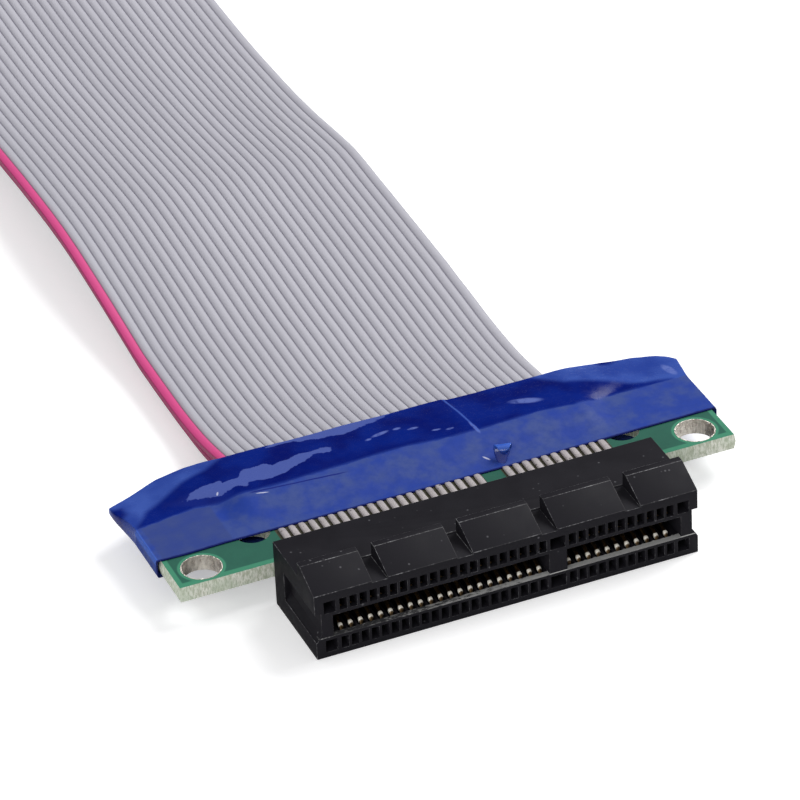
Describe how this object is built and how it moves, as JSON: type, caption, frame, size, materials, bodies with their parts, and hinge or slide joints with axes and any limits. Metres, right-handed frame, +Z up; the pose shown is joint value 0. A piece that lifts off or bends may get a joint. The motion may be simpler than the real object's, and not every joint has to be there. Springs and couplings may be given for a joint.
{
  "type": "gpu riser cable",
  "caption": "Flat ribbon riser cable with a card-edge socket on a small green board at one end, a card-edge plug board at the other, and blue tape sleeves.",
  "frame": {"origin": "centre of the socket housing's underside, which rests on the table", "axes": "+X across the socket along its slot, -Y out of the slot, +Y along the ribbons, +Z up"},
  "size_m": [0.0576, 0.2435, 0.0084],
  "materials": {
    "housing": "satin black with scuffed edges",
    "board": "green solder mask on laminate",
    "plating": "dull tinned plating",
    "contact": "gold-flashed spring metal",
    "tape": "glossy blue film",
    "ribbon": "grey ridged insulation with one pink edge conductor"
  },
  "bodies": {
    "root": {"socket_housing": "housing", "socket_board": "board", "screw_hole_plating_left": "plating", "screw_hole_plating_right": "plating", "upper_contact_01": "contact", "upper_contact_02": "contact", "upper_contact_03": "contact", "upper_contact_04": "contact", "upper_contact_05": "contact", "upper_contact_06": "contact", "upper_contact_07": "contact", "upper_contact_08": "contact", "upper_contact_09": "contact", "upper_contact_10": "contact", "upper_contact_11": "contact", "upper_contact_12": "contact", "upper_contact_13": "contact", "upper_contact_14": "contact", "upper_contact_15": "contact", "upper_contact_16": "contact", "upper_contact_17": "contact", "upper_contact_18": "contact", "upper_contact_19": "contact", "upper_contact_20": "contact", "upper_contact_21": "contact", "upper_contact_22": "contact", "upper_contact_23": "contact", "upper_contact_24": "contact", "upper_contact_25": "contact", "upper_contact_26": "contact", "upper_contact_27": "contact", "upper_contact_28": "contact", "upper_contact_29": "contact", "upper_contact_30": "contact", "upper_contact_31": "contact", "upper_contact_32": "contact", "socket_tape": "tape", "ribbon_upper": "ribbon", "ribbon_lower": "ribbon", "plug_board": "board", "plug_tape": "tape"}
  },
  "joints": []
}
